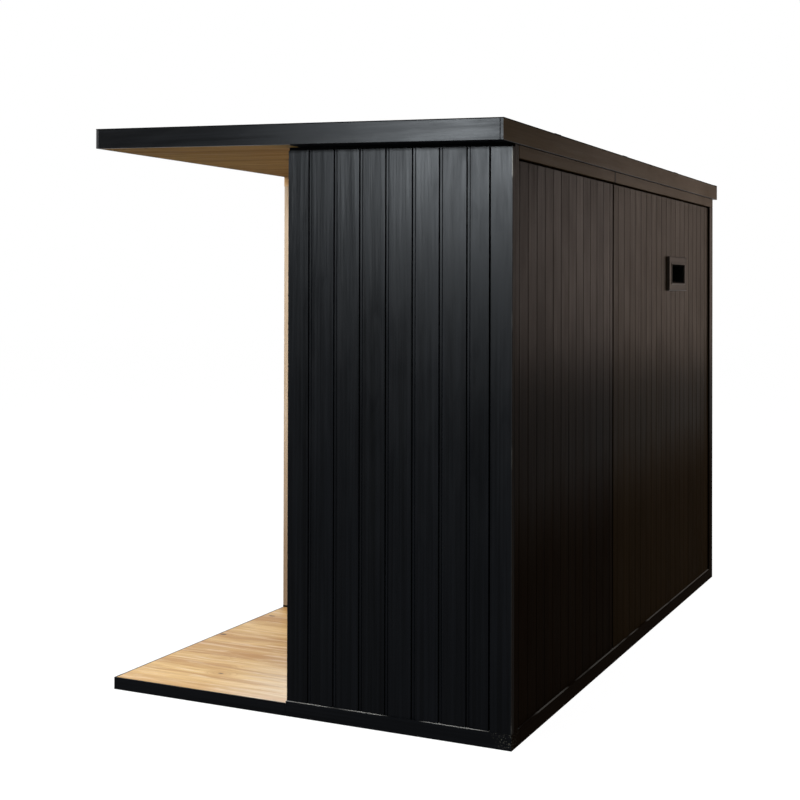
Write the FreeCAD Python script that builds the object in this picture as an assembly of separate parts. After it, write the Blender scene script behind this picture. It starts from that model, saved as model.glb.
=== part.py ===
import FreeCAD, Part
import os

from FreeCAD import Vector

# Outdoor sauna: a timber cabin with a corner porch under a flat roof that falls to the back.
# +X is the near end, +Y the back, +Z up. The origin is on the ground under the middle of the roof.
# All lengths are millimetres.

# Plan of the base
base_length = 3466.0
base_depth = 1762.0
end_wall_width = 940.0
porch_length = 1457.0

# Roof edge beyond the base
overhang_near = 119.0
overhang_far = 83.0
overhang_front = 16.0
overhang_back = 8.0

# Heights, the roof's measured at its low back edge
roof_top = 2300.0
roof_fall = 43.0
fascia_height = 79.0
membrane_thickness = 4.0
soffit_thickness = 14.0
sill_height = 59.0
deck_height = 50.0
header_height = 50.0
header_gap = 8.0
shadow_gap = 11.0
soffit_past_wall = 58.0

# Wall build-up, from the outer face inwards
wall_thickness = 94.0
cladding_thickness = 14.0
cladding_recess = 10.0

# Boards
fascia_thickness = 14.0
corner_board_width = 86.0
corner_gap = 9.0
side_trim_width = 43.0
far_trim_width = 80.0
back_seam = 1365.0
seam_gap = 9.0
header_joint_gap = 4.0
edge_ease = 1.5
shadow_strip_thickness = 4.0

# Floor
deck_thickness = 28.0
deck_rim = 8.0
porch_beam_width = 60.0
joist_width = 45.0
joist_spacing = 420.0

# Vent in the back wall
vent_from_near = 2583.0
vent_below_header = 310.0
vent_width = 272.0
vent_height = 82.0
vent_border = 48.0
vent_side_border = 59.0
vent_plate_depth = 13.5
vent_plate_bevel = 3.0
vent_lip_width = 8.0
vent_lip_rise = 1.5
vent_lip_bevel = 1.0
vent_liner_wall = 8.0
vent_liner_inset = 6.0

# Door in the porch's back wall
doorway_width = 760.0
wall_over_doorway = 198.0
door_frame_width = 42.0
door_rebate_width = 14.0
door_rebate_depth = 14.0
door_glass_thickness = 8.0
door_gap = 3.0
threshold_height = 18.0
handle_length = 420.0
handle_width = 28.0
handle_thickness = 22.0
handle_standoff = 34.0
handle_foot_radius = 9.0
handle_inset = 70.0
handle_middle_height = 1080.0
hinge_height = 80.0
hinge_plate_thickness = 5.0
hinge_plate_width = 70.0
hinge_from_end = 260.0

# Lines of the plan
roof_length = base_length + overhang_near + overhang_far
roof_depth = base_depth + overhang_front + overhang_back
roof_near = roof_length / 2
roof_far = -roof_length / 2
roof_back = roof_depth / 2
roof_front = -roof_depth / 2
near = roof_near - overhang_near
far = roof_far + overhang_far
back = roof_back - overhang_back
front = roof_front + overhang_front
porch_back = back - end_wall_width
porch_side = near - porch_length

# Faces of the outer walls' cores, behind trims and cladding
trim_thickness = cladding_thickness + cladding_recess
core_near = near - trim_thickness
core_far = far + trim_thickness
core_back = back - trim_thickness
core_front = front + trim_thickness

# Inner faces of the walls
room_near = near - wall_thickness
room_far = far + wall_thickness
room_back = back - wall_thickness
room_front = front + wall_thickness
room_porch_back = porch_back + wall_thickness
room_porch_side = porch_side - wall_thickness

# Faces of the porch walls' cores, behind their cladding
core_porch_back = porch_back + cladding_thickness
core_porch_side = porch_side - cladding_thickness

# Levels at the roof's back edge
membrane_low = roof_top - membrane_thickness
fascia_low = membrane_low - fascia_height
core_top = fascia_low + soffit_thickness
header_low = fascia_low - header_height
end_boards_top = fascia_low - shadow_gap
long_boards_top = header_low - header_gap
roof_slope = roof_fall / roof_depth

# Directions in which a board's face can look
to_near = Vector(1, 0, 0)
to_far = Vector(-1, 0, 0)
to_back = Vector(0, 1, 0)
to_front = Vector(0, -1, 0)

# Doorway and vent places
door_middle = (near + porch_side) / 2
door_far = door_middle - doorway_width / 2
door_near = door_middle + doorway_width / 2
door_top = fascia_low - wall_over_doorway
vent_middle = near - vent_from_near
vent_middle_height = header_low - vent_below_header - vent_border - vent_height / 2


def rise(y):
    """How much higher the roof is at y than at its back edge."""
    return (roof_back - y) * roof_slope


def block(x, y, z):
    """A box between the two values of each range."""
    low = Vector(min(x), min(y), min(z))
    return Part.makeBox(max(x) - low.x, max(y) - low.y, max(z) - low.z, low)


def raked(x, y, low, high, level_foot=True):
    """A block whose top follows the roof's fall, and its underside too unless the foot is level."""
    y_low, y_high = min(y), max(y)
    foot_low = low if level_foot else low + rise(y_low)
    foot_high = low if level_foot else low + rise(y_high)
    x_low = min(x)
    outline = [
        Vector(x_low, y_low, foot_low),
        Vector(x_low, y_high, foot_high),
        Vector(x_low, y_high, high + rise(y_high)),
        Vector(x_low, y_low, high + rise(y_low)),
    ]
    face = Part.Face(Part.makePolygon(outline + outline[:1]))
    return face.extrude(Vector(max(x) - x_low, 0, 0))


def roof_layer(x, y, low, high):
    """A sheet or board that lies in the roof, parallel to its fall."""
    return raked(x, y, low, high, level_foot=False)


def level_layer(x, y, low, high):
    """A sheet that lies level."""
    return block(x, y, (low, high))


def room_sheet(layer, low, high):
    """A layer over the cabin's L-shaped plan between its walls, as one sheet."""
    main = layer((room_far, room_porch_side), (room_front, room_back), low, high)
    wing = layer((room_porch_side, room_near), (room_porch_back, room_back), low, high)
    return main.fuse(wing).removeSplitter()


def eased(board, *directions):
    """A board with the edges planed off round the outermost face in each direction."""
    edges = []
    for direction in directions:
        face = max(board.Faces, key=lambda face: face.CenterOfMass.dot(direction))
        edges += [edge for edge in face.Edges if not any(edge.isSame(other) for other in edges)]
    return board.makeChamfer(edge_ease, edges)


def joists_between(x, y, high):
    """Floor joists that run along Y, evenly spaced between two beams."""
    length = max(x) - min(x)
    count = max(1, round(length / joist_spacing) - 1)
    pitch = length / (count + 1)
    joists = []
    for number in range(1, count + 1):
        middle = min(x) + number * pitch
        x_range = (middle - joist_width / 2, middle + joist_width / 2)
        joists.append(block(x_range, y, (0, high)))
    return joists


def vent_hole(grow=0.0):
    """The vent's passage through the back wall, larger all round by grow."""
    half_width = vent_width / 2 + grow
    half_height = vent_height / 2 + grow
    x = (vent_middle - half_width, vent_middle + half_width)
    z = (vent_middle_height - half_height, vent_middle_height + half_height)
    return block(x, (room_back - wall_thickness, back + wall_thickness), z)


def base_parts():
    sill = (0, sill_height)
    long_beams = [
        eased(block((far, room_near), (room_back, back), sill), to_back, to_far),
        eased(block((far, porch_side), (front, room_front), sill), to_front, to_far),
        block((room_porch_side, room_near), (porch_back, room_porch_back), sill),
    ]
    cross_beams = [
        eased(block((room_near, near), (porch_back, back), sill), to_near, to_back),
        eased(block((far, room_far), (room_front, room_back), sill), to_far),
        block((room_porch_side, porch_side), (room_front, porch_back), sill),
    ]
    return {
        "base_long_beams": Part.makeCompound(long_beams),
        "base_cross_beams": Part.makeCompound(cross_beams),
    }


def floor_parts():
    deck_low = deck_height - deck_thickness
    deck = block((porch_side, near - deck_rim), (front + deck_rim, porch_back), (deck_low, deck_height))
    near_inner = near - porch_beam_width
    front_inner = front + porch_beam_width
    near_beam = block((near_inner, near), (front, porch_back), (0, deck_height)).cut(deck)
    front_beam = block((porch_side, near_inner), (front, front_inner), (0, deck_height)).cut(deck)
    floor_low = sill_height - deck_thickness
    joists = joists_between((room_far, room_porch_side), (room_front, room_back), floor_low)
    joists += joists_between((room_porch_side, room_near), (room_porch_back, room_back), floor_low)
    joists += joists_between((porch_side, near_inner), (front_inner, porch_back), deck_low)
    return {
        "porch_beam_near": eased(near_beam, to_near),
        "porch_beam_front": eased(front_beam, to_front),
        "porch_deck": deck,
        "cabin_floor": room_sheet(level_layer, floor_low, sill_height),
        "floor_joists": Part.makeCompound(joists),
    }


def wall_parts():
    back_range = (room_back, core_back)
    front_range = (core_front, room_front)
    porch_range = (core_porch_back, room_porch_back)
    doorway = block((door_far, door_near), (porch_back, room_porch_back), (sill_height, door_top))
    side_x = (room_porch_side, core_porch_side)
    side_y = (room_front, core_porch_back)
    rise_range = (sill_height, core_top)
    seam = near - back_seam
    back_far = raked((core_far, seam), back_range, *rise_range)
    porch_back_panel = raked((room_porch_side, room_near), porch_range, *rise_range)
    return {
        "back_wall_near": raked((seam, core_near), back_range, *rise_range),
        "back_wall_far": back_far.cut(vent_hole(vent_liner_wall)),
        "near_end_wall": raked((room_near, core_near), (core_porch_back, room_back), *rise_range),
        "far_end_wall": raked((core_far, room_far), (room_front, room_back), *rise_range),
        "front_wall": raked((core_far, core_porch_side), front_range, *rise_range),
        "porch_side_wall": raked(side_x, side_y, *rise_range),
        "porch_back_wall": porch_back_panel.cut(doorway),
    }


def cladding_parts():
    seam = near - back_seam
    clad_back = (core_back, back - cladding_recess)
    clad_front = (core_front, front + cladding_recess)
    clad_near = (core_near, near - cladding_recess)
    clad_far = (core_far, far + cladding_recess)
    back_near_x = (seam + seam_gap / 2, near - trim_thickness - side_trim_width)
    back_far_x = (far + far_trim_width, seam - seam_gap / 2)
    front_x = (far + far_trim_width, core_porch_side - far_trim_width)
    far_y = (front + trim_thickness + side_trim_width, back - trim_thickness - side_trim_width)
    near_y = (porch_back, back - corner_board_width - corner_gap)
    porch_side_x = (core_porch_side, porch_side)
    porch_side_y = (front, porch_back)
    porch_back_x = (core_porch_side, core_near)
    porch_back_y = (porch_back, core_porch_back)
    doorway = block((door_far, door_near), porch_back_y, (sill_height, door_top))
    back_far = raked(back_far_x, clad_back, sill_height, long_boards_top)
    porch_back_boards = raked(porch_back_x, porch_back_y, sill_height, header_low)
    return {
        "back_cladding_near": raked(back_near_x, clad_back, sill_height, long_boards_top),
        "back_cladding_far": back_far.cut(vent_hole(vent_liner_wall)),
        "near_end_cladding": raked(clad_near, near_y, sill_height, end_boards_top),
        "far_end_cladding": raked(clad_far, far_y, sill_height, end_boards_top),
        "front_cladding": raked(front_x, clad_front, sill_height, long_boards_top),
        "porch_side_cladding": raked(porch_side_x, porch_side_y, sill_height, header_low),
        "porch_back_cladding": porch_back_boards.cut(doorway),
    }


def trim_parts():
    trim_back = (core_back, back)
    trim_front = (front, core_front)
    side_back = (core_back - side_trim_width, core_back)
    side_front = (core_front, core_front + side_trim_width)
    side_near_x = (core_near - side_trim_width, core_near)
    far_x = (far, far + far_trim_width)
    far_side_x = (far, core_far)
    porch_x = (core_porch_side - far_trim_width, core_porch_side)
    seam = near - back_seam
    near_header_x = (seam + header_joint_gap / 2, side_near_x[0] - header_joint_gap)
    far_header_x = (far, seam - header_joint_gap / 2)
    corner_board = raked((core_near, near), (back - corner_board_width, back), sill_height, end_boards_top)
    long_trims = [
        eased(raked(side_near_x, trim_back, sill_height, fascia_low), to_back),
        eased(raked(far_x, trim_back, sill_height, header_low), to_back, to_far),
        eased(raked(far_x, trim_front, sill_height, header_low), to_front, to_far),
    ]
    headers = [
        eased(roof_layer(near_header_x, trim_back, header_low, fascia_low), to_back),
        eased(roof_layer(far_header_x, trim_back, header_low, fascia_low), to_back, to_far),
    ]
    end_trims = [
        eased(raked(far_side_x, side_back, sill_height, end_boards_top), to_far),
        eased(raked(far_side_x, side_front, sill_height, end_boards_top), to_far),
    ]
    porch_trim = raked(porch_x, trim_front, sill_height, header_low)
    front_header = roof_layer((far, core_porch_side), trim_front, header_low, fascia_low)
    side_header_y = (front, core_porch_back)
    back_header_x = (porch_side, core_near)
    back_header_y = (porch_back, core_porch_back)
    return {
        "near_corner_board": eased(corner_board, to_near, to_back),
        "long_side_trims": Part.makeCompound(long_trims),
        "back_headers": Part.makeCompound(headers),
        "far_end_trims": Part.makeCompound(end_trims),
        "front_header": eased(front_header, to_front, to_far),
        "porch_corner_trim": eased(porch_trim, to_front),
        "porch_side_header": roof_layer((core_porch_side, porch_side), side_header_y, header_low, core_top),
        "porch_back_header": roof_layer(back_header_x, back_header_y, header_low, core_top),
    }


def roof_parts():
    inner_near = roof_near - fascia_thickness
    inner_far = roof_far + fascia_thickness
    inner_back = roof_back - fascia_thickness
    inner_front = roof_front + fascia_thickness
    long_side = (roof_far, roof_near)
    inner_length = (inner_far, inner_near)
    inner_depth = (inner_front, inner_back)
    fascia = (fascia_low, membrane_low)
    lining = (fascia_low, core_top)
    back_fascia = roof_layer(long_side, (inner_back, roof_back), *fascia)
    front_fascia = roof_layer(long_side, (roof_front, inner_front), *fascia)
    bare_soffit = roof_layer((porch_side, inner_near), (inner_front, porch_back), *lining)
    past_wall = roof_layer((near, inner_near), (porch_back, porch_back + soffit_past_wall), *lining)
    strip_x = (core_near, core_near + shadow_strip_thickness)
    soffits = [
        roof_layer((core_near, inner_near), (porch_back, inner_back), *lining).cut(past_wall),
        roof_layer((inner_far, core_far), inner_depth, *lining),
        roof_layer((core_far, core_near), (core_back, inner_back), *lining),
        roof_layer((core_far, core_porch_side), (inner_front, core_front), *lining),
        roof_layer(strip_x, (porch_back, core_back), end_boards_top, fascia_low),
    ]
    return {
        "fascia_near": eased(roof_layer((inner_near, roof_near), inner_depth, *fascia), to_near),
        "fascia_far": eased(roof_layer((roof_far, inner_far), inner_depth, *fascia), to_far),
        "fascia_back": eased(back_fascia, to_back, to_near, to_far),
        "fascia_front": eased(front_fascia, to_front, to_near, to_far),
        "roof_panel": roof_layer(inner_length, inner_depth, core_top, membrane_low),
        "roof_membrane": roof_layer(long_side, (roof_front, roof_back), membrane_low, roof_top),
        "porch_soffit": bare_soffit.fuse(past_wall).removeSplitter(),
        "overhang_soffits": Part.makeCompound(soffits),
        "cabin_ceiling": room_sheet(roof_layer, *lining),
    }


def vent_plate(low, high, side_border, border, bevel):
    """A rectangle round the vent's opening, bevelled round its outer face."""
    half_width = vent_width / 2 + side_border
    half_height = vent_height / 2 + border
    x = (vent_middle - half_width, vent_middle + half_width)
    z = (vent_middle_height - half_height, vent_middle_height + half_height)
    plate = block(x, (low, high), z)
    rim = [edge for edge in plate.Edges if edge.BoundBox.YMin > (low + high) / 2]
    return plate.makeChamfer(bevel, rim)


def vent_parts():
    face = back - cladding_recess
    plate_face = face + vent_plate_depth
    plate = vent_plate(face, plate_face, vent_side_border, vent_border, vent_plate_bevel)
    lip_border = vent_liner_wall + vent_lip_width
    lip = vent_plate(face, plate_face + vent_lip_rise, lip_border, lip_border, vent_lip_bevel)
    opening = vent_hole(vent_liner_wall)
    liner_face = plate_face + vent_lip_rise - vent_liner_inset
    liner = opening.cut(vent_hole()).common(block((far, near), (room_back, liner_face), (0, roof_top)))
    return {"vent_frame": plate.fuse(lip).cut(opening), "vent_liner": liner}


def door_parts():
    inside = (door_far + door_frame_width, door_near - door_frame_width)
    head = door_top - door_frame_width
    frame = block((door_far, door_near), (porch_back, room_porch_back), (sill_height, door_top))
    passage = block(inside, (porch_back, room_porch_back), (sill_height, head))
    rebate_x = (inside[0] - door_rebate_width, inside[1] + door_rebate_width)
    rebate_z = (sill_height, head + door_rebate_width)
    stop = porch_back + door_rebate_depth
    rebate = block(rebate_x, (porch_back, stop), rebate_z)
    frame = frame.cut(passage).cut(rebate)
    leaf_x = (rebate_x[0] + door_gap, rebate_x[1] - door_gap)
    leaf_z = (sill_height + threshold_height + door_gap, rebate_z[1] - door_gap)
    leaf_y = (stop - door_glass_thickness, stop)
    threshold = block(inside, (porch_back, room_porch_back), (sill_height, sill_height + threshold_height))
    return {
        "door_frame": frame,
        "door_threshold": threshold,
        "door_glass": block(leaf_x, leaf_y, leaf_z),
        "door_handles": door_handles(leaf_x, leaf_y),
        "door_hinges": door_hinges(leaf_x, leaf_y, leaf_z),
    }


def door_handles(leaf_x, leaf_y):
    """A vertical bar on two round feet, on each side of the glass."""
    middle = leaf_x[1] - handle_inset
    x = (middle - handle_width / 2, middle + handle_width / 2)
    z = (handle_middle_height - handle_length / 2, handle_middle_height + handle_length / 2)
    foot_length = handle_standoff + handle_thickness / 2
    handles = []
    for face, out in ((leaf_y[0], -1), (leaf_y[1], 1)):
        bar_y = (face + out * handle_standoff, face + out * (handle_standoff + handle_thickness))
        bar = block(x, bar_y, z)
        bar = bar.makeFillet(handle_thickness / 4, bar.Edges)
        for height in (z[0] + handle_length / 6, z[1] - handle_length / 6):
            start = Vector(middle, face, height)
            bar = bar.fuse(Part.makeCylinder(handle_foot_radius, foot_length, start, Vector(0, out, 0)))
        handles.append(bar.removeSplitter())
    return Part.makeCompound(handles)


def door_hinges(leaf_x, leaf_y, leaf_z):
    """Two hinges, each a plate on the glass whose edge is stepped back to the frame's rebate."""
    hinges = []
    for middle in (leaf_z[0] + hinge_from_end, leaf_z[1] - hinge_from_end):
        z = (middle - hinge_height / 2, middle + hinge_height / 2)
        plate_y = (leaf_y[0] - hinge_plate_thickness, leaf_y[0])
        plate = block((leaf_x[0] - door_gap, leaf_x[0] + hinge_plate_width), plate_y, z)
        knuckle = block((leaf_x[0] - door_gap, leaf_x[0]), (plate_y[0], leaf_y[1]), z)
        hinges.append(plate.fuse(knuckle).removeSplitter())
    return Part.makeCompound(hinges)


def main():
    os.makedirs("parts", exist_ok=True)
    parts = base_parts() | floor_parts() | wall_parts() | cladding_parts()
    parts |= trim_parts() | roof_parts() | vent_parts() | door_parts()
    for node, shape in parts.items():
        shape.exportStep(f"parts/{node}.step")


main()
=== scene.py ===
import itertools
import math
from collections import namedtuple
from functools import partial

import bmesh
import bpy
from mathutils import Matrix, Vector


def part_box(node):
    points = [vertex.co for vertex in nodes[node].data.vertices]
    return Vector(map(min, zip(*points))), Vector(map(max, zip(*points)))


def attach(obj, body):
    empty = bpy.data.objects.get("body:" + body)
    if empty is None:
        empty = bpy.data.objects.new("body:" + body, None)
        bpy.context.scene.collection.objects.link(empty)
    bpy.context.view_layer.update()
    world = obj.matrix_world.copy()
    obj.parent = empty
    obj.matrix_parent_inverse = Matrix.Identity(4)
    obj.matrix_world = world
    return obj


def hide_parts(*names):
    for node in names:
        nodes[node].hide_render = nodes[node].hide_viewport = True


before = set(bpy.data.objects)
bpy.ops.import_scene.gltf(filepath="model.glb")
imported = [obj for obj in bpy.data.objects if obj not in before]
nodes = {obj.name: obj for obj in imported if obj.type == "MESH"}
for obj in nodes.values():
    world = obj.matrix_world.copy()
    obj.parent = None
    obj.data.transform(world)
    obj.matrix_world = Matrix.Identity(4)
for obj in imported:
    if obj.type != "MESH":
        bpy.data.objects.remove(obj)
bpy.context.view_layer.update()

# Lengths are metres. +X is the near end with the porch, +Y the long closed wall, +Z up.
to_near = Vector((1, 0, 0))
to_far = Vector((-1, 0, 0))
to_back = Vector((0, 1, 0))
to_front = Vector((0, -1, 0))

# What each board covers, across the boards
edge_board = 0.095
end_wall_board = 0.1107
long_wall_board = 0.101
ripped_board = 0.033
narrow_board = 0.085
side_board = 0.107
lining_board = 0.095
deck_board = 0.0966
room_board = 0.09

# Whole boards on the near end wall, between its edge board and the last one
end_wall_count = 6

# Joint of the painted boards: a slot under the lip of one board, then a step and a notch on the next
slot_depth = 0.009
end_joint = {"slot": 0.004, "step": 0.009, "drop": 0.0025, "notch": 0.0016, "ease": 0.0014}
long_joint = {"slot": 0.003, "step": 0.006, "drop": 0.0006, "notch": 0.0008, "ease": 0.0006}

# Groove between the long wall's two panels
seam_groove = 0.011

# Joints of the bare boards
lining_joint = 0.003
deck_joint = 0.0008

# Roof covering, laid in sheets across the roof
sheet_width = 1.0
lap_width = 0.08
lap_rise = 0.0015
lap_edge = 0.004

membrane_low, membrane_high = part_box("roof_membrane")
membrane_thickness = 0.004
roof_slope = (membrane_high.z - membrane_low.z - membrane_thickness) / (membrane_high.y - membrane_low.y)

# Duller paint from weathering, painted shade at the foot of the porch's boards and a painted sheen on the
# deck beside the wall, as a height or a place on Y: where each is full, and where it ends
dull_reach = (0.55, 1.05)
shade_reach = (0.1, 1.5)
sheen_reach = (-0.06, -0.55)

# Wear, a painted highlight and painted shadow by the distance from an edge, a corner or a joint: where each
# is full, and where it ends
corner_edge_reach = (0.002, 0.005)
scuff_reach = (0.03, 0.09)
joint_reach = (0.008, 0.016)

# The corner board's painted highlight, a pale streak: the heights where it starts, is full, fades and ends
highlight_heights = (2.08, 2.11, 2.17, 2.21)

# How much a face looks backwards, from -1 to 1, before it wears the back's copy of the paint, whose tint is
# painted light
back_facing = 0.3

# Camera. Yaw turns from the near end towards the back, and a pitch above 0 looks down.
camera_place = Vector((6.528, 2.606, 1.681))
camera_yaw = 0.4597
camera_pitch = -0.0067
camera_roll = 0.0029
focal_pixels = 1392.5
centre_across_pixels = 350.0
centre_down_pixels = 280.0
picture_pixels = 800.0
sensor_width = 36.0

# Sockets of the colour mix node, which share their names with others
mix_factor = 0
mix_first = 6
mix_second = 7
mix_result = 2

# Each board takes its grain from another spot, this far on for each number
board_shift = (3.1, 5.3, 7.7)
board_numbers = itertools.count(1)

# A paint's tones and levels, and a spot for boards: what places their points, its length and their depth
Paint = namedtuple("Paint", "dark light gloss roughness")
Spot = namedtuple("Spot", "place length depth")


class Shader:
    """A material's node tree, with one short call for each kind of node. The grain runs along the boards."""

    def __init__(self, name, grain="z"):
        self.grain = grain
        self.material = bpy.data.materials.new(name)
        self.material.use_nodes = True
        self.nodes = self.material.node_tree.nodes
        self.links = self.material.node_tree.links
        self.surface = self.nodes["Principled BSDF"]

    def put(self, socket, value):
        if isinstance(value, bpy.types.NodeSocket):
            self.links.new(value, socket)
        else:
            socket.default_value = value

    def add(self, kind, inputs, **settings):
        node = self.nodes.new("ShaderNode" + kind)
        for name, value in settings.items():
            setattr(node, name, value)
        for key, value in inputs.items():
            self.put(node.inputs[key], value)
        return node

    def math(self, operation, *values):
        return self.add("Math", dict(enumerate(values)), operation=operation).outputs[0]

    def product(self, first, second):
        return self.math("MULTIPLY", first, second)

    def raised(self, value, mask, amount):
        """The value, raised by an amount where the mask is 1."""
        return self.math("MULTIPLY_ADD", mask, amount, value)

    def place(self, across, lengthwise=None):
        """Object coordinates scaled across and along the grain, and moved to another spot for each board."""
        if lengthwise is None:
            lengthwise = across
        stretch = [lengthwise if axis == self.grain else across for axis in "xyz"]
        board = self.add("Attribute", {}, attribute_name="board").outputs["Fac"]
        point = self.add("TexCoord", {}).outputs["Object"]
        apart = self.add("VectorMath", {0: board_shift, "Scale": board}, operation="SCALE").outputs[0]
        moved = self.add("VectorMath", {0: point, 1: apart}, operation="ADD").outputs[0]
        return self.add("VectorMath", {0: moved, 1: stretch}, operation="MULTIPLY").outputs[0]

    def board_tone(self):
        """A number from 0 to 1 that differs from board to board."""
        board = self.add("Attribute", {}, attribute_name="board").outputs["Fac"]
        return self.add("TexWhiteNoise", {"W": board}, noise_dimensions="1D").outputs["Value"]

    def coordinate(self, axis):
        point = self.add("TexCoord", {}).outputs["Object"]
        return self.add("SeparateXYZ", {0: point}).outputs[axis]

    def distance(self, place):
        point = self.add("TexCoord", {}).outputs["Object"]
        return self.add("VectorMath", {0: point, 1: place}, operation="DISTANCE").outputs["Value"]

    def facing(self, axis):
        """How far the surface looks along an axis, from -1 to 1."""
        normal = self.add("NewGeometry", {}).outputs["True Normal"]
        return self.add("SeparateXYZ", {0: normal}).outputs[axis]

    def noise(self, across, lengthwise=None, detail=4.0, roughness=0.55, distortion=0.0):
        """Noise with a scale across the grain and, where the two differ, another along it."""
        inputs = {"Vector": self.place(across, lengthwise), "Scale": 1.0}
        inputs |= {"Detail": detail, "Roughness": roughness, "Distortion": distortion}
        return self.add("TexNoise", inputs).outputs["Fac"]

    def span(self, value, low, high, start=0.0, end=1.0):
        """The value between low and high, turned smoothly into a number from start to end."""
        inputs = {"Value": value, "From Min": low, "From Max": high, "To Min": start, "To Max": end}
        return self.add("MapRange", inputs, interpolation_type="SMOOTHSTEP").outputs[0]

    def fade(self, value, reach, amount):
        """An amount that is full at the reach's first end and gone at its second."""
        full, none = reach
        return self.span(value, none, full, end=amount)

    def mix(self, factor, first, second):
        inputs = {mix_factor: factor, mix_first: first, mix_second: second}
        return self.add("Mix", inputs, data_type="RGBA").outputs[mix_result]

    def layered(self, color, *layers):
        """The colour with layers over it, each an amount and a tone."""
        for amount, tone in layers:
            color = self.mix(amount, color, tone)
        return color

    def bump(self, height, distance, under=None):
        inputs = {"Height": height, "Distance": distance}
        if under:
            inputs["Normal"] = under
        return self.add("Bump", inputs).outputs[0]

    def finish(self, color, roughness, levels, normal=None):
        """Fills the surface's sockets. The levels go by the names of theirs."""
        inputs = {"Base Color": color, "Roughness": roughness, **levels}
        if normal:
            inputs["Normal"] = normal
        for name, value in inputs.items():
            self.put(self.surface.inputs[name], value)
        return self.material


def black_paint(name, grain, paint, dull_foot=0.0, dusty=0.0, chipped_and_highlit=False, joined=False):
    """Satin black paint, brushed along the boards, with the grain just showing through."""
    smoothest = paint.roughness - 0.06
    shader = Shader(name, grain)
    streaks = shader.noise(90.0, 0.9, detail=5.0)
    brushing = shader.noise(24.0, 4.0, detail=6.0, distortion=0.9)
    clouds = shader.noise(2.2, detail=3.0)
    fibre = shader.noise(420.0, 7.0, detail=3.0)
    waves = shader.noise(26.0, 1.3, detail=2.0)

    tone = shader.raised(shader.span(streaks, 0.3, 0.75, end=0.7), shader.board_tone(), 0.3)
    color = shader.mix(tone, paint.dark, paint.light)
    # Chips of bare wood along the corner's edge, and a painted highlight near its top
    if chipped_and_highlit:
        color = chip_and_highlight_corner(shader, color)
    if dusty:
        color = dust_ledge(shader, color, dusty)
    # Painted shadow along the header boards' joint
    if joined:
        color = draw_header_joint(shader, color)

    roughness = shader.raised(smoothest, shader.span(clouds, 0.3, 0.7), 0.05)
    roughness = shader.raised(roughness, shader.span(brushing, 0.3, 0.7), 0.05)
    roughness = shader.raised(roughness, shader.span(streaks, 0.35, 0.7), 0.04)
    if dull_foot:
        weathered = shader.fade(shader.coordinate("Z"), dull_reach, dull_foot)
        roughness = shader.math("ADD", roughness, weathered)

    normal = shader.bump(waves, 0.0012, shader.bump(fibre, 0.00018))
    return shader.finish(color, roughness, {"Specular IOR Level": paint.gloss}, normal)


def chip_and_highlight_corner(shader, color):
    """The near corner board's edge: a pale streak near its top, which is a painted highlight, and small chips
    of bare wood all along it.
    """
    pale_wear_and_highlight = (0.21, 0.2, 0.175, 1)
    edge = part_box("near_corner_board")[1]
    full, none = corner_edge_reach
    beside_x = shader.span(shader.coordinate("X"), edge.x - none, edge.x - full)
    beside_y = shader.span(shader.coordinate("Y"), edge.y - none, edge.y - full)
    height = shader.coordinate("Z")
    start, full_from, full_to, end = highlight_heights
    above_start = shader.span(height, start, full_from, end=0.75)
    below_end = shader.span(height, end, full_to)
    chips = shader.span(shader.noise(5.0, detail=3.0), 0.52, 0.62, start=0.03, end=0.12)
    highlight_and_chips = shader.math("MAXIMUM", shader.product(above_start, below_end), chips)
    return shader.mix(shader.product(shader.product(beside_x, beside_y), highlight_and_chips), color, pale_wear_and_highlight)


def dust_ledge(shader, color, amount):
    """Patches of dust on the base's upper faces, and scuffs at its near back corner."""
    dust = (0.3, 0.29, 0.27, 1)
    scuffed = (0.16, 0.15, 0.12, 1)
    level = shader.span(shader.facing("Z"), 0.7, 0.9)
    patches = shader.span(shader.noise(2.6, detail=2.0), 0.36, 0.48)
    corner = shader.fade(shader.distance(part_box("base_cross_beams")[1]), scuff_reach, 0.5)
    specks = shader.span(shader.noise(190.0, detail=3.0), 0.56, 0.7)
    return shader.layered(
        color,
        (shader.product(shader.product(level, patches), amount), dust),
        (shader.product(corner, specks), scuffed),
    )


def draw_header_joint(shader, color):
    """Painted shadow of the joint between the header boards, over the seam between the wall's two panels."""
    shadow = (0.001, 0.001, 0.001, 1)
    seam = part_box("back_cladding_far")[1].x
    aside = shader.math("ABSOLUTE", shader.math("SUBTRACT", shader.coordinate("X"), seam))
    return shader.mix(shader.fade(aside, joint_reach, 0.9), color, shadow)


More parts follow.
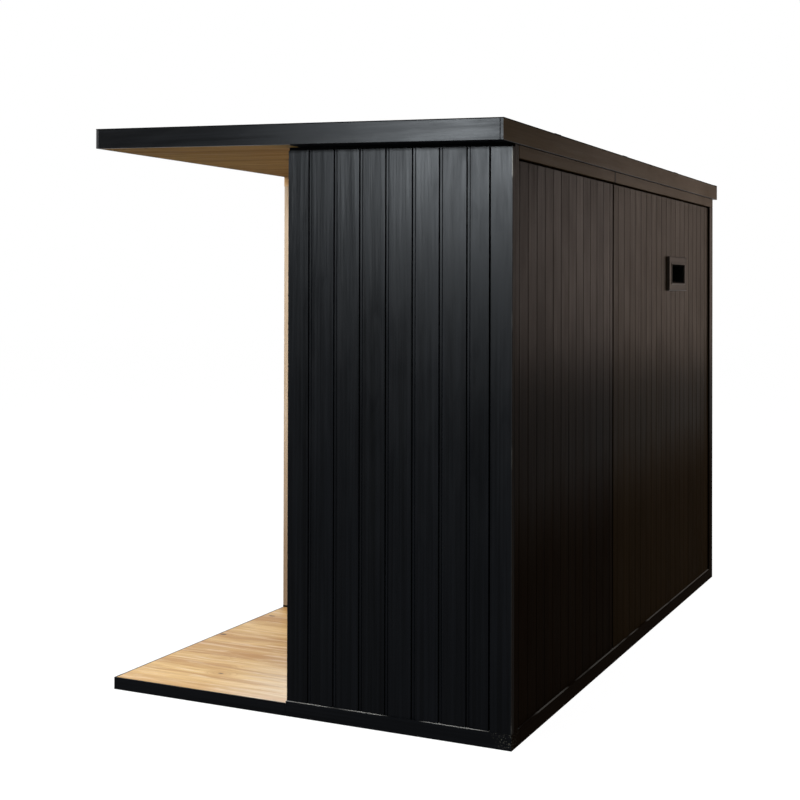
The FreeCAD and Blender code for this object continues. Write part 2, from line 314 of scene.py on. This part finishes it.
def timber(name, grain, pale, deep, roughness, gloss=0.15, shaded_foot=0.0, painted_sheen=0.0, wispy=0.2):
    """Oiled softwood with growth rings, wisps, fibre and knots, each board of its own tone."""
    knot_brown = (0.05, 0.02, 0.008, 1)
    painted_shade_brown = (0.16, 0.1, 0.055, 1)
    sunlit = (0.86, 0.78, 0.68, 1)
    bright = tuple(1 - 0.62 * (1 - level) for level in pale)
    shader = Shader(name, grain)
    near_knot, knot = knots(shader)
    rings = growth_rings(shader, near_knot)
    fibre = shader.noise(330.0, 5.0)
    wisps = shader.noise(42.0, 3.2, detail=5.0, distortion=1.1)
    blush = shader.noise(9.0, 0.9, distortion=0.5)

    color = shader.layered(
        shader.mix(shader.board_tone(), pale, shader.mix(0.6, pale, deep)),
        (shader.product(rings, 0.4), deep),
        (shader.span(blush, 0.46, 0.6, end=0.8), deep),
        (shader.span(wisps, 0.5, 0.72, end=0.25 + wispy / 2), deep),
        (shader.span(wisps, 0.5, 0.3, end=wispy), bright),
        (shader.span(fibre, 0.35, 0.75, end=0.3), deep),
        (shader.product(near_knot, 0.5), deep),
        (shader.product(knot, 0.9), knot_brown),
    )
    # Painted shade: darker towards the foot
    if shaded_foot:
        color = shader.mix(shader.fade(shader.coordinate("Z"), shade_reach, shaded_foot), color, painted_shade_brown)
    # Painted sheen: pale patches of reflection on the deck beside the wall
    if painted_sheen:
        beside_wall = shader.fade(shader.coordinate("Y"), sheen_reach, painted_sheen)
        patches = shader.span(wisps, 0.65, 0.35, start=0.5)
        color = shader.mix(shader.product(beside_wall, patches), color, sunlit)

    roughness = shader.raised(roughness, shader.span(fibre, 0.3, 0.7), 0.12)
    normal = shader.bump(rings, 0.0001, shader.bump(fibre, 0.0002))
    return shader.finish(color, roughness, {"Specular IOR Level": gloss}, normal)


def knots(shader):
    """Masks of the wood round the knots and of the knots. Six cells of ten have one."""
    cells = shader.add("TexVoronoi", {"Vector": shader.place(6.5, 3.6), "Scale": 1.0})
    chance = shader.add("SeparateColor", {0: cells.outputs["Color"]}).outputs[0]
    chosen = shader.math("LESS_THAN", chance, 0.6)
    near_knot = shader.span(cells.outputs["Distance"], 0.35, 0.05)
    knot = shader.span(cells.outputs["Distance"], 0.08, 0.05)
    return shader.product(near_knot, chosen), shader.product(knot, chosen)


def growth_rings(shader, near_knot):
    """A number that climbs to 1 at each ring. The rings bend round the knots."""
    figure = shader.noise(7.0, 0.32, detail=2.0, distortion=0.25)
    path = shader.raised(shader.product(near_knot, 2.2), figure, 15.0)
    return shader.math("POWER", shader.math("FRACT", path), 2.2)


def wall_panel(name, axis, inward):
    """A wall's core: pale lining boards where it faces the room, near-black elsewhere as painted shade, which
    shows in the gaps behind the outer boards.
    """
    painted_shade_black = (0.002, 0.002, 0.002, 1)
    pale = (0.62, 0.42, 0.21, 1)
    deep = (0.45, 0.27, 0.11, 1)
    joint_shadow = (0.06, 0.035, 0.015, 1)
    half_joint = 0.0035
    shader = Shader(name)
    grain = shader.noise(160.0, 2.5)
    run = shader.coordinate("Y" if axis == "X" else "X")
    from_joint = shader.math("PINGPONG", run, lining_board / 2)
    joint = shader.product(shader.span(from_joint, half_joint, 0.0), 0.75)
    wood = shader.mix(joint, shader.mix(shader.span(grain, 0.3, 0.75), pale, deep), joint_shadow)
    lined = shader.span(shader.product(shader.facing(axis), inward), 0.3, 0.6)
    # Painted shade: near-black wherever the core doesn't face the room
    color = shader.mix(lined, painted_shade_black, wood)
    roughness = shader.span(grain, 0.2, 0.8, start=0.5, end=0.7)
    return shader.finish(color, roughness, {"Specular IOR Level": 0.0}, shader.bump(grain, 0.0003))


def roof_felt():
    """Mineral felt: dark, matt and grainy, with faint water marks and darker edges."""
    dark_grit = (0.018, 0.019, 0.021, 1)
    light_grit = (0.06, 0.062, 0.066, 1)
    water_mark = (0.07, 0.068, 0.064, 1)
    edge_black = (0.003, 0.003, 0.003, 1)
    shader = Shader("roof_felt")
    grit = shader.noise(900.0, detail=2.0)
    marks = shader.noise(3.0, detail=5.0)
    color = shader.layered(
        shader.mix(shader.span(grit, 0.35, 0.7), dark_grit, light_grit),
        (shader.span(marks, 0.5, 0.8, end=0.35), water_mark),
        (shader.span(shader.facing("Z"), 0.5, 0.3), edge_black),
    )
    roughness = shader.span(marks, 0.3, 0.7, start=0.8, end=0.92)
    return shader.finish(color, roughness, {"Specular IOR Level": 0.0}, shader.bump(grit, 0.0006))


def powder_coat():
    """Black powder coat with its fine orange peel."""
    shader = Shader("powder_coat")
    peel = shader.noise(700.0, detail=2.0)
    dust = shader.noise(40.0)
    color = shader.mix(shader.span(dust, 0.4, 0.8), (0.006, 0.006, 0.006, 1), (0.014, 0.013, 0.012, 1))
    roughness = shader.span(dust, 0.3, 0.7, start=0.5, end=0.6)
    return shader.finish(color, roughness, {"Specular IOR Level": 0.0}, shader.bump(peel, 0.00012))


def brushed_steel():
    """Steel with fine brush lines up and down."""
    shader = Shader("brushed_steel")
    lines = shader.noise(2500.0, 30.0, detail=2.0)
    color = shader.mix(lines, (0.42, 0.42, 0.43, 1), (0.6, 0.6, 0.61, 1))
    roughness = shader.span(lines, 0.3, 0.7, start=0.28, end=0.42)
    return shader.finish(color, roughness, {"Metallic": 1.0}, shader.bump(lines, 0.00005))


def tinted_glass():
    """Bronze safety glass, faintly smeared and rippled."""
    shader = Shader("tinted_glass")
    smear = shader.noise(6.0, 2.0, detail=3.0)
    ripple = shader.noise(5.0, 3.0, detail=1.0)
    color = shader.mix(smear, (0.34, 0.28, 0.23, 1), (0.38, 0.31, 0.26, 1))
    roughness = shader.span(smear, 0.4, 0.9, start=0.015, end=0.05)
    levels = {"Transmission Weight": 1.0, "IOR": 1.46}
    return shader.finish(color, roughness, levels, shader.bump(ripple, 0.0004))


def dress(material, *names):
    """Gives CAD nodes a material."""
    for name in names:
        mesh = nodes[name].data
        mesh.materials.clear()
        mesh.materials.append(material)


def add_object(name, data):
    added = bpy.data.objects.new(name, data)
    bpy.context.scene.collection.objects.link(added)
    return added


def add_piece(name, maker, material, slot, *replaced):
    """A mesh that rides on the cabin and stands for the nodes named last."""
    mesh = bpy.data.meshes.new(name)
    bmesh.ops.recalc_face_normals(maker, faces=maker.faces)
    maker.to_mesh(mesh)
    maker.free()
    mesh.materials.append(material)
    piece = add_object(name, mesh)
    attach(piece, "root")
    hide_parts(*replaced)
    return piece


def paint_back(node, material, back_material):
    """A copy of a painted node, in its place, whose back and the edges round it wear another material: a copy
    of the paint whose other tint is painted light.
    """
    maker = bmesh.new()
    maker.from_mesh(nodes[node].data)
    maker.transform(nodes[node].matrix_world)
    piece = add_piece(f"painted_{node}", maker, material, "black_timber", node)
    piece.data.materials.append(back_material)
    for face in piece.data.polygons:
        face.material_index = int(face.normal.y > back_facing)


def even(length, target):
    """Board widths that share a length evenly, near the target."""
    count = max(1, round(length / target))
    return [length / count] * count


def end_widths(length):
    """An edge board, whole boards, and what is left."""
    widths = [edge_board] + [end_wall_board] * end_wall_count
    return widths + [length - sum(widths)]


def near_panel_widths(length):
    """A ripped board, whole boards, and what is left."""
    whole = int((length - ripped_board) / long_wall_board)
    return [ripped_board] + [long_wall_board] * whole + [length - ripped_board - whole * long_wall_board]


def far_panel_widths(length):
    """A narrow board, then even ones."""
    return [narrow_board] + even(length - narrow_board, long_wall_board)


def painted_profile(slot, step, drop, notch, ease):
    """Outline of a painted board as (across, depth) points: a step, a notch, the face, a slot under a lip."""
    notch_depth = 3 * drop + ease

    def profile(width, depth, first, last):
        face_start = 0 if first else step + notch
        points = [(0, depth)]
        if not first:
            points += [(0, drop), (step - ease, drop), (step, drop + ease), (step, notch_depth)]
            points += [(face_start, notch_depth)]
        points += [(face_start, ease), (face_start + ease, 0)]
        if last:
            return points + [(width - ease, 0), (width, ease), (width, depth)]
        lip = width - slot
        return points + [(lip - ease, 0), (lip, ease), (lip, slot_depth), (width, slot_depth), (width, depth)]

    return profile


def seamed_profile(width, depth, first, last):
    """Outline of a board on the long wall's far panel, of which the first leaves a groove along the seam."""
    outline = painted_profile(**long_joint)(width, depth, first, last)
    if not first:
        return outline
    ease = long_joint["ease"]
    groove = [(0, slot_depth), (seam_groove, slot_depth), (seam_groove, ease), (seam_groove + ease, 0)]
    back_corner, _, _, *rest = outline
    return [back_corner, *groove, *rest]


def bare_profile(joint):
    """Outline of a bare board whose two edges are eased into a small V."""
    def profile(width, depth, first, last):
        return [(0, depth), (0, joint), (joint, 0), (width - joint, 0), (width, joint), (width, depth)]

    return profile


def standing(node, across, outward):
    """Where boards stand in a node's box. They are counted across, face outward and end at the roof."""
    low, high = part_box(node)
    corner = Vector()
    for axis in range(3):
        corner[axis] = high[axis] if across[axis] < 0 or outward[axis] > 0 else low[axis]

    def place(run, depth, end):
        point = corner + across * run - outward * depth
        point.z = high.z - roof_slope * (point.y - low.y) if end else low.z
        return point

    return Spot(place, abs((high - low).dot(across)), abs((high - low).dot(outward)))


def lying(node, x_range, y_range, overhead):
    """Where boards lie in a part of a node's box, along Y and counted to the near end.

    A floor's boards are level and face up. Boards overhead follow the roof and face down.
    """
    low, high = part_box(node)
    x_low, x_high = x_range
    y_low, y_high = y_range
    slope = roof_slope if overhead else 0.0

    def place(run, depth, end):
        y = y_high if end else y_low
        level = low.z + depth if overhead else high.z - depth
        return Vector((x_low + run, y, level + slope * (high.y - y)))

    return Spot(place, x_high - x_low, high.z - low.z - slope * (high.y - low.y))


def add_prism(maker, ends):
    """A solid between two outlines with as many points as each other."""
    rings = [[maker.verts.new(point) for point in end] for end in ends]
    faces = [maker.faces.new(ring) for ring in rings]
    one_end, other_end = rings
    for number in range(len(one_end)):
        following = (number + 1) % len(one_end)
        corners = (one_end[number], one_end[following], other_end[following], other_end[number])
        faces.append(maker.faces.new(corners))
    return faces


def add_boards(maker, spot, widths, profile):
    """Boards side by side, each with its own number for the material."""
    number_layer = maker.faces.layers.float.get("board") or maker.faces.layers.float.new("board")
    start = 0.0
    for count, width in enumerate(widths):
        outline = profile(width, spot.depth, count == 0, count == len(widths) - 1)
        ends = [[spot.place(start + run, depth, end) for run, depth in outline] for end in (False, True)]
        number = next(board_numbers)
        for face in add_prism(maker, ends):
            face[number_layer] = number
        start += width


def stand_boards(name, node, across, outward, divide, profile, material, slot):
    """One wall's boards, in place of its plain cladding. Divide turns the wall's length into widths."""
    maker = bmesh.new()
    spot = standing(node, across, outward)
    add_boards(maker, spot, divide(spot.length), profile)
    return add_piece(name, maker, material, slot, node)


def lay_boards(name, node, areas, width, joint, material, overhead=False):
    """Bare boards in areas of a node's box, in place of the node. An area is an X range and a Y range."""
    maker = bmesh.new()
    for x_range, y_range in areas:
        spot = lying(node, x_range, y_range, overhead)
        add_boards(maker, spot, even(spot.length, width), bare_profile(joint))
    add_piece(name, maker, material, "light_timber", node)


def whole_area(node):
    """All of a node's box, as one area."""
    low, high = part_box(node)
    return [((low.x, high.x), (low.y, high.y))]


def soffit_areas(node):
    """The soffit over the porch, and its outermost board, which runs on past the end wall."""
    low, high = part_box(node)
    wall_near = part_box("near_corner_board")[1].x
    wall_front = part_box("near_end_cladding")[0].y
    return [((low.x, wall_near), (low.y, wall_front)), ((wall_near, high.x), (low.y, high.y))]


def room_areas(node):
    """The room's two parts, which make an L round the porch."""
    low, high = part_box(node)
    wing_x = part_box("porch_side_wall")[0].x
    wing_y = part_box("porch_back_wall")[1].y
    return [((low.x, wing_x), (low.y, high.y)), ((wing_x, high.x), (wing_y, high.y))]


def cut_opening(piece, filler):
    """Cuts the opening that a node fills right through a wall's boards."""
    low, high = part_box(filler)
    low = low - to_back
    high = high + to_back
    maker = bmesh.new()
    bmesh.ops.create_cube(maker, size=1.0)
    for vertex in maker.verts:
        for axis in range(3):
            vertex.co[axis] = high[axis] if vertex.co[axis] > 0 else low[axis]
    cutter_mesh = bpy.data.meshes.new("cutter")
    maker.to_mesh(cutter_mesh)
    maker.free()
    cutter = add_object("cutter", cutter_mesh)
    modifier = piece.modifiers.new("cut", "BOOLEAN")
    modifier.object = cutter
    modifier.solver = "EXACT"
    modifier.use_self = True
    cut_mesh = bpy.data.meshes.new_from_object(piece.evaluated_get(bpy.context.evaluated_depsgraph_get()))
    piece.modifiers.clear()
    piece.data = cut_mesh
    bpy.data.objects.remove(cutter)


def sheet_outline(start, end):
    """Outline of a roof sheet as (x, height) points, raised where it laps over the one before."""
    lap_end = min(start + lap_width, end)
    lower = membrane_thickness - lap_rise
    raised = [(start, 0.0), (start, membrane_thickness), (lap_end, membrane_thickness)]
    return raised + [(lap_end + lap_edge, lower), (end, lower), (end, 0.0)]


def cover_roof():
    """Lapped sheets of felt in place of the plain roof covering."""
    maker = bmesh.new()
    for number in range(math.ceil((membrane_high.x - membrane_low.x) / sheet_width)):
        start = membrane_low.x + number * sheet_width
        outline = sheet_outline(start, min(start + sheet_width, membrane_high.x))
        ends = []
        for y in (membrane_low.y, membrane_high.y):
            level = membrane_low.z + roof_slope * (membrane_high.y - y)
            ends.append([(x, y, level + height) for x, height in outline])
        add_prism(maker, ends)
    add_piece("roof_sheets", maker, roof_felt(), "roof_membrane", "roof_membrane")


def whiteness(tree, seen, otherwise):
    """A strength that is one value for rays which show the background and another for those that light."""
    path = tree.nodes.new("ShaderNodeLightPath")
    shown = path.outputs["Is Camera Ray"]
    for kind in ("Is Glossy Ray", "Is Transmission Ray"):
        either = tree.nodes.new("ShaderNodeMath")
        either.operation = "MAXIMUM"
        tree.links.new(shown, either.inputs[0])
        tree.links.new(path.outputs[kind], either.inputs[1])
        shown = either.outputs[0]
    strength = tree.nodes.new("ShaderNodeMapRange")
    strength.inputs["To Min"].default_value = otherwise
    strength.inputs["To Max"].default_value = seen
    tree.links.new(shown, strength.inputs["Value"])
    return strength.outputs[0]


def add_world():
    """White all round, which lights the cabin less than it shows."""
    world = bpy.data.worlds.new("studio")
    world.use_nodes = True
    background = world.node_tree.nodes["Background"]
    background.inputs["Color"].default_value = (1, 1, 1, 1)
    strength = whiteness(world.node_tree, seen=1.0, otherwise=0.4)
    world.node_tree.links.new(strength, background.inputs["Strength"])
    bpy.context.scene.world = world


def add_floor(radius=40.0, drop=0.0005, tone=0.12):
    """A floor just under the base, which shows white but reflects only a little light."""
    maker = bmesh.new()
    bmesh.ops.create_circle(maker, cap_ends=True, radius=radius, segments=64)
    mesh = bpy.data.meshes.new("studio_floor")
    maker.to_mesh(mesh)
    maker.free()
    shader = Shader("studio_floor")
    glow = whiteness(shader.material.node_tree, seen=0.95, otherwise=0.0)
    levels = {"Specular IOR Level": 0.0, "Emission Color": (1, 1, 1, 1), "Emission Strength": glow}
    mesh.materials.append(shader.finish((tone, tone, tone, 1), 0.9, levels))
    floor = add_object("studio_floor", mesh)
    floor.location.z = -drop


def add_lamp(name, place, target, size, color, power, lights_matt=True):
    """A soft rectangular lamp that isn't seen itself. One that lights nothing matt only adds shine."""
    lamp = bpy.data.lights.new(name, "AREA")
    lamp.shape = "RECTANGLE"
    lamp.size, lamp.size_y = size
    lamp.energy = power
    lamp.color = color
    holder = add_object(name, lamp)
    holder.location = place
    holder.rotation_euler = (Vector(target) - Vector(place)).to_track_quat("-Z", "Y").to_euler()
    holder.visible_camera = False
    holder.visible_diffuse = lights_matt


def add_camera():
    """The camera, with its lens shifted to the picture's centre."""
    ahead = -Vector((math.cos(camera_yaw) * math.cos(camera_pitch),
                     math.sin(camera_yaw) * math.cos(camera_pitch),
                     math.sin(camera_pitch)))
    level_right = Vector((-math.sin(camera_yaw), math.cos(camera_yaw), 0))
    level_up = level_right.cross(ahead)
    right = math.cos(camera_roll) * level_right + math.sin(camera_roll) * level_up
    up = math.cos(camera_roll) * level_up - math.sin(camera_roll) * level_right
    lens = bpy.data.cameras.new("camera")
    lens.sensor_width = sensor_width
    lens.lens = focal_pixels / picture_pixels * sensor_width
    lens.shift_x = (picture_pixels / 2 - centre_across_pixels) / picture_pixels
    lens.shift_y = (centre_down_pixels - picture_pixels / 2) / picture_pixels
    camera = add_object("camera", lens)
    camera.matrix_world = Matrix.Translation(camera_place) @ Matrix((right, up, -ahead)).transposed().to_4x4()
    bpy.context.scene.camera = camera


# One black paint in several copies, whose tints and tones are painted light: bluish on the lit near end,
# browner on the back, where it is matt and shines only at a low angle, browner and lighter still on the
# back's far panel, headers and the vent frame's sides, and a lighter grey on the front and far end
cool = Paint((0.0005, 0.0006, 0.0008, 1), (0.0022, 0.0025, 0.0032, 1), gloss=0.026, roughness=0.31)
warm = Paint((0.0028, 0.0015, 0.0006, 1), (0.0072, 0.0040, 0.0018, 1), gloss=0.0015, roughness=0.33)
far = Paint((0.0086, 0.0051, 0.0019, 1), (0.0180, 0.0110, 0.0050, 1), gloss=0.0013, roughness=0.33)
brown = Paint((0.0350, 0.0215, 0.0090, 1), (0.0530, 0.0330, 0.0150, 1), gloss=0.0011, roughness=0.33)
lit_vent_side = Paint((0.0240, 0.0190, 0.0150, 1), (0.0360, 0.0290, 0.0230, 1), gloss=0.055, roughness=0.4)
front = Paint((0.0030, 0.0030, 0.0032, 1), (0.0085, 0.0085, 0.0090, 1), gloss=0.12, roughness=0.36)
wall_dullness = 0.4

cool_paint = {axis: black_paint(f"cool_black_{axis}", axis, cool) for axis in "xyz"}
warm_paint = {axis: black_paint(f"warm_black_{axis}", axis, warm, dull_foot=wall_dullness) for axis in "xz"}
# Painted light: a lighter grey copy of the paint for the front and the far end
front_paint = {axis: black_paint(f"front_black_{axis}", axis, front) for axis in "xyz"}
# Painted light: a lighter, browner copy of the paint for the back's far panel
far_paint = black_paint("far_black", "z", far, dull_foot=wall_dullness)
# Painted reflection: a lighter brown copy of the paint for the back fascia's back and the headers
brown_paint = black_paint("brown_black", "x", brown)
header_paint = black_paint("header_black", "x", brown, joined=True)
# Painted light: a lighter brown copy of the paint for the vent frame's sides
lit_vent_side_paint = black_paint("lit_vent_side_paint", "x", lit_vent_side)
corner_paint = black_paint("corner_paint", "z", warm, chipped_and_highlit=True)
corner_end_paint = black_paint("corner_end_paint", "z", cool, chipped_and_highlit=True)
end_base_paint = black_paint("end_base_paint", "y", cool, dusty=0.8)
long_base_paint = black_paint("long_base_paint", "x", warm, dull_foot=wall_dullness, dusty=0.3)

deck_timber = timber("deck_timber", "y", pale=(0.77, 0.54, 0.24, 1), deep=(0.44, 0.215, 0.06, 1),
                     roughness=0.35, painted_sheen=0.6, wispy=0.55)
upright_timber = timber("upright_timber", "z", pale=(0.50, 0.38, 0.27, 1), deep=(0.33, 0.23, 0.14, 1),
                        roughness=0.5, shaded_foot=0.85)
level_timber = timber("level_timber", "x", pale=(0.6, 0.44, 0.27, 1), deep=(0.4, 0.26, 0.12, 1),
                      roughness=0.5)
side_header_timber = timber("side_header_timber", "y", pale=(0.6, 0.4, 0.2, 1), deep=(0.4, 0.22, 0.08, 1),
                            roughness=0.5)
# Painted shade: the deck's timber, toned darker for the soffit
soffit_timber = timber("soffit_timber", "y", pale=(0.47, 0.31, 0.11, 1), deep=(0.26, 0.145, 0.042, 1),
                       roughness=0.7, gloss=0.03)
sawn_timber = timber("sawn_timber", "y", pale=(0.5, 0.36, 0.2, 1), deep=(0.33, 0.2, 0.09, 1),
                     roughness=0.75)

# Boards of the outer walls
end_profile = painted_profile(**end_joint)
long_profile = painted_profile(**long_joint)
side_widths = partial(even, target=side_board)
stand_boards("near_end_boards", "near_end_cladding", to_back, to_near, end_widths, end_profile,
             cool_paint["z"], "black_timber")
stand_boards("back_boards_near", "back_cladding_near", to_far, to_back, near_panel_widths, long_profile,
             warm_paint["z"], "black_timber")
far_panel = stand_boards("back_boards_far", "back_cladding_far", to_far, to_back, far_panel_widths,
                         seamed_profile, far_paint, "black_timber")
stand_boards("far_end_boards", "far_end_cladding", to_front, to_far, side_widths, end_profile,
             front_paint["z"], "black_timber")
stand_boards("front_boards", "front_cladding", to_near, to_front, side_widths, end_profile,
             front_paint["z"], "black_timber")
cut_opening(far_panel, "vent_liner")

# Lining of the porch
lining_profile = bare_profile(lining_joint)
lining_widths = partial(even, target=lining_board)
stand_boards("porch_side_boards", "porch_side_cladding", to_back, to_near, lining_widths, lining_profile,
             upright_timber, "light_timber")
porch_back = stand_boards("porch_back_boards", "porch_back_cladding", to_near, to_front, lining_widths,
                          lining_profile, upright_timber, "light_timber")
cut_opening(porch_back, "door_frame")

# Boards underfoot and overhead, in the porch and in the room
lay_boards("porch_deck_boards", "porch_deck", whole_area("porch_deck"), deck_board, deck_joint, deck_timber)
lay_boards("porch_soffit_boards", "porch_soffit", soffit_areas("porch_soffit"), deck_board, deck_joint,
           soffit_timber, overhead=True)
lay_boards("cabin_floor_boards", "cabin_floor", room_areas("cabin_floor"), room_board, deck_joint,
           deck_timber)
lay_boards("cabin_ceiling_boards", "cabin_ceiling", room_areas("cabin_ceiling"), room_board, lining_joint,
           soffit_timber, overhead=True)

cover_roof()

# Painted pieces with another copy of the paint on their back, tinted as painted light
paint_back("fascia_back", cool_paint["x"], brown_paint)
paint_back("near_corner_board", corner_end_paint, corner_paint)
paint_back("base_cross_beams", end_base_paint, long_base_paint)
paint_back("vent_frame", lit_vent_side_paint, warm_paint["x"])

# Materials of the CAD pieces that stay
dress(long_base_paint, "base_long_beams")
dress(header_paint, "back_headers")
dress(warm_paint["z"], "long_side_trims")
dress(cool_paint["y"], "fascia_near", "porch_beam_near", "overhang_soffits")
dress(front_paint["x"], "front_header", "fascia_front", "porch_beam_front")
dress(front_paint["y"], "fascia_far")
dress(front_paint["z"], "far_end_trims", "porch_corner_trim")
dress(side_header_timber, "porch_side_header")
dress(level_timber, "porch_back_header", "door_threshold")
dress(upright_timber, "door_frame", "door_handles")
dress(sawn_timber, "floor_joists", "roof_panel")
dress(powder_coat(), "vent_liner")
dress(tinted_glass(), "door_glass")
dress(brushed_steel(), "door_hinges")
for node, axis, inward in (
    ("back_wall_near", "Y", -1),
    ("back_wall_far", "Y", -1),
    ("front_wall", "Y", 1),
    ("near_end_wall", "X", -1),
    ("far_end_wall", "X", 1),
    ("porch_side_wall", "X", -1),
    ("porch_back_wall", "Y", 1),
):
    dress(wall_panel(f"{node}_panel", axis, inward), node)

# Surroundings and lamps
add_world()
add_floor()
end_lamp = {
    "place": (6.7, -1.15, 2.85),
    "target": (1.7, 0.4, 1.9),
    "size": (1.05, 0.6),
    "color": (0.87, 0.94, 1.0),
}
add_lamp("end_light", **end_lamp, power=440.0)
add_lamp("end_shine", **end_lamp, power=560.0, lights_matt=False)
add_lamp("porch_light", place=(3.6, -5.2, 3.2), target=(1.2, -0.4, 0.2), size=(2.5, 2.5),
         color=(1.0, 0.95, 0.88), power=200.0)
add_lamp("long_light_low", place=(-6.3, 2.25, 2.0), target=(-0.5, 1.1, 1.7), size=(1.1, 1.9),
         color=(1.0, 0.72, 0.55), power=36.0)
add_lamp("long_light_wide", place=(-6.3, 3.5, 2.1), target=(0.5, 1.1, 1.7), size=(1.4, 1.9),
         color=(1.0, 0.85, 0.78), power=112.0)
add_lamp("top_light", place=(0.5, 0.5, 7.0), target=(0.0, 0.0, 2.3), size=(4.0, 4.0),
         color=(1.0, 1.0, 1.0), power=180.0)

add_camera()
bpy.context.scene.view_settings.view_transform = "Standard"
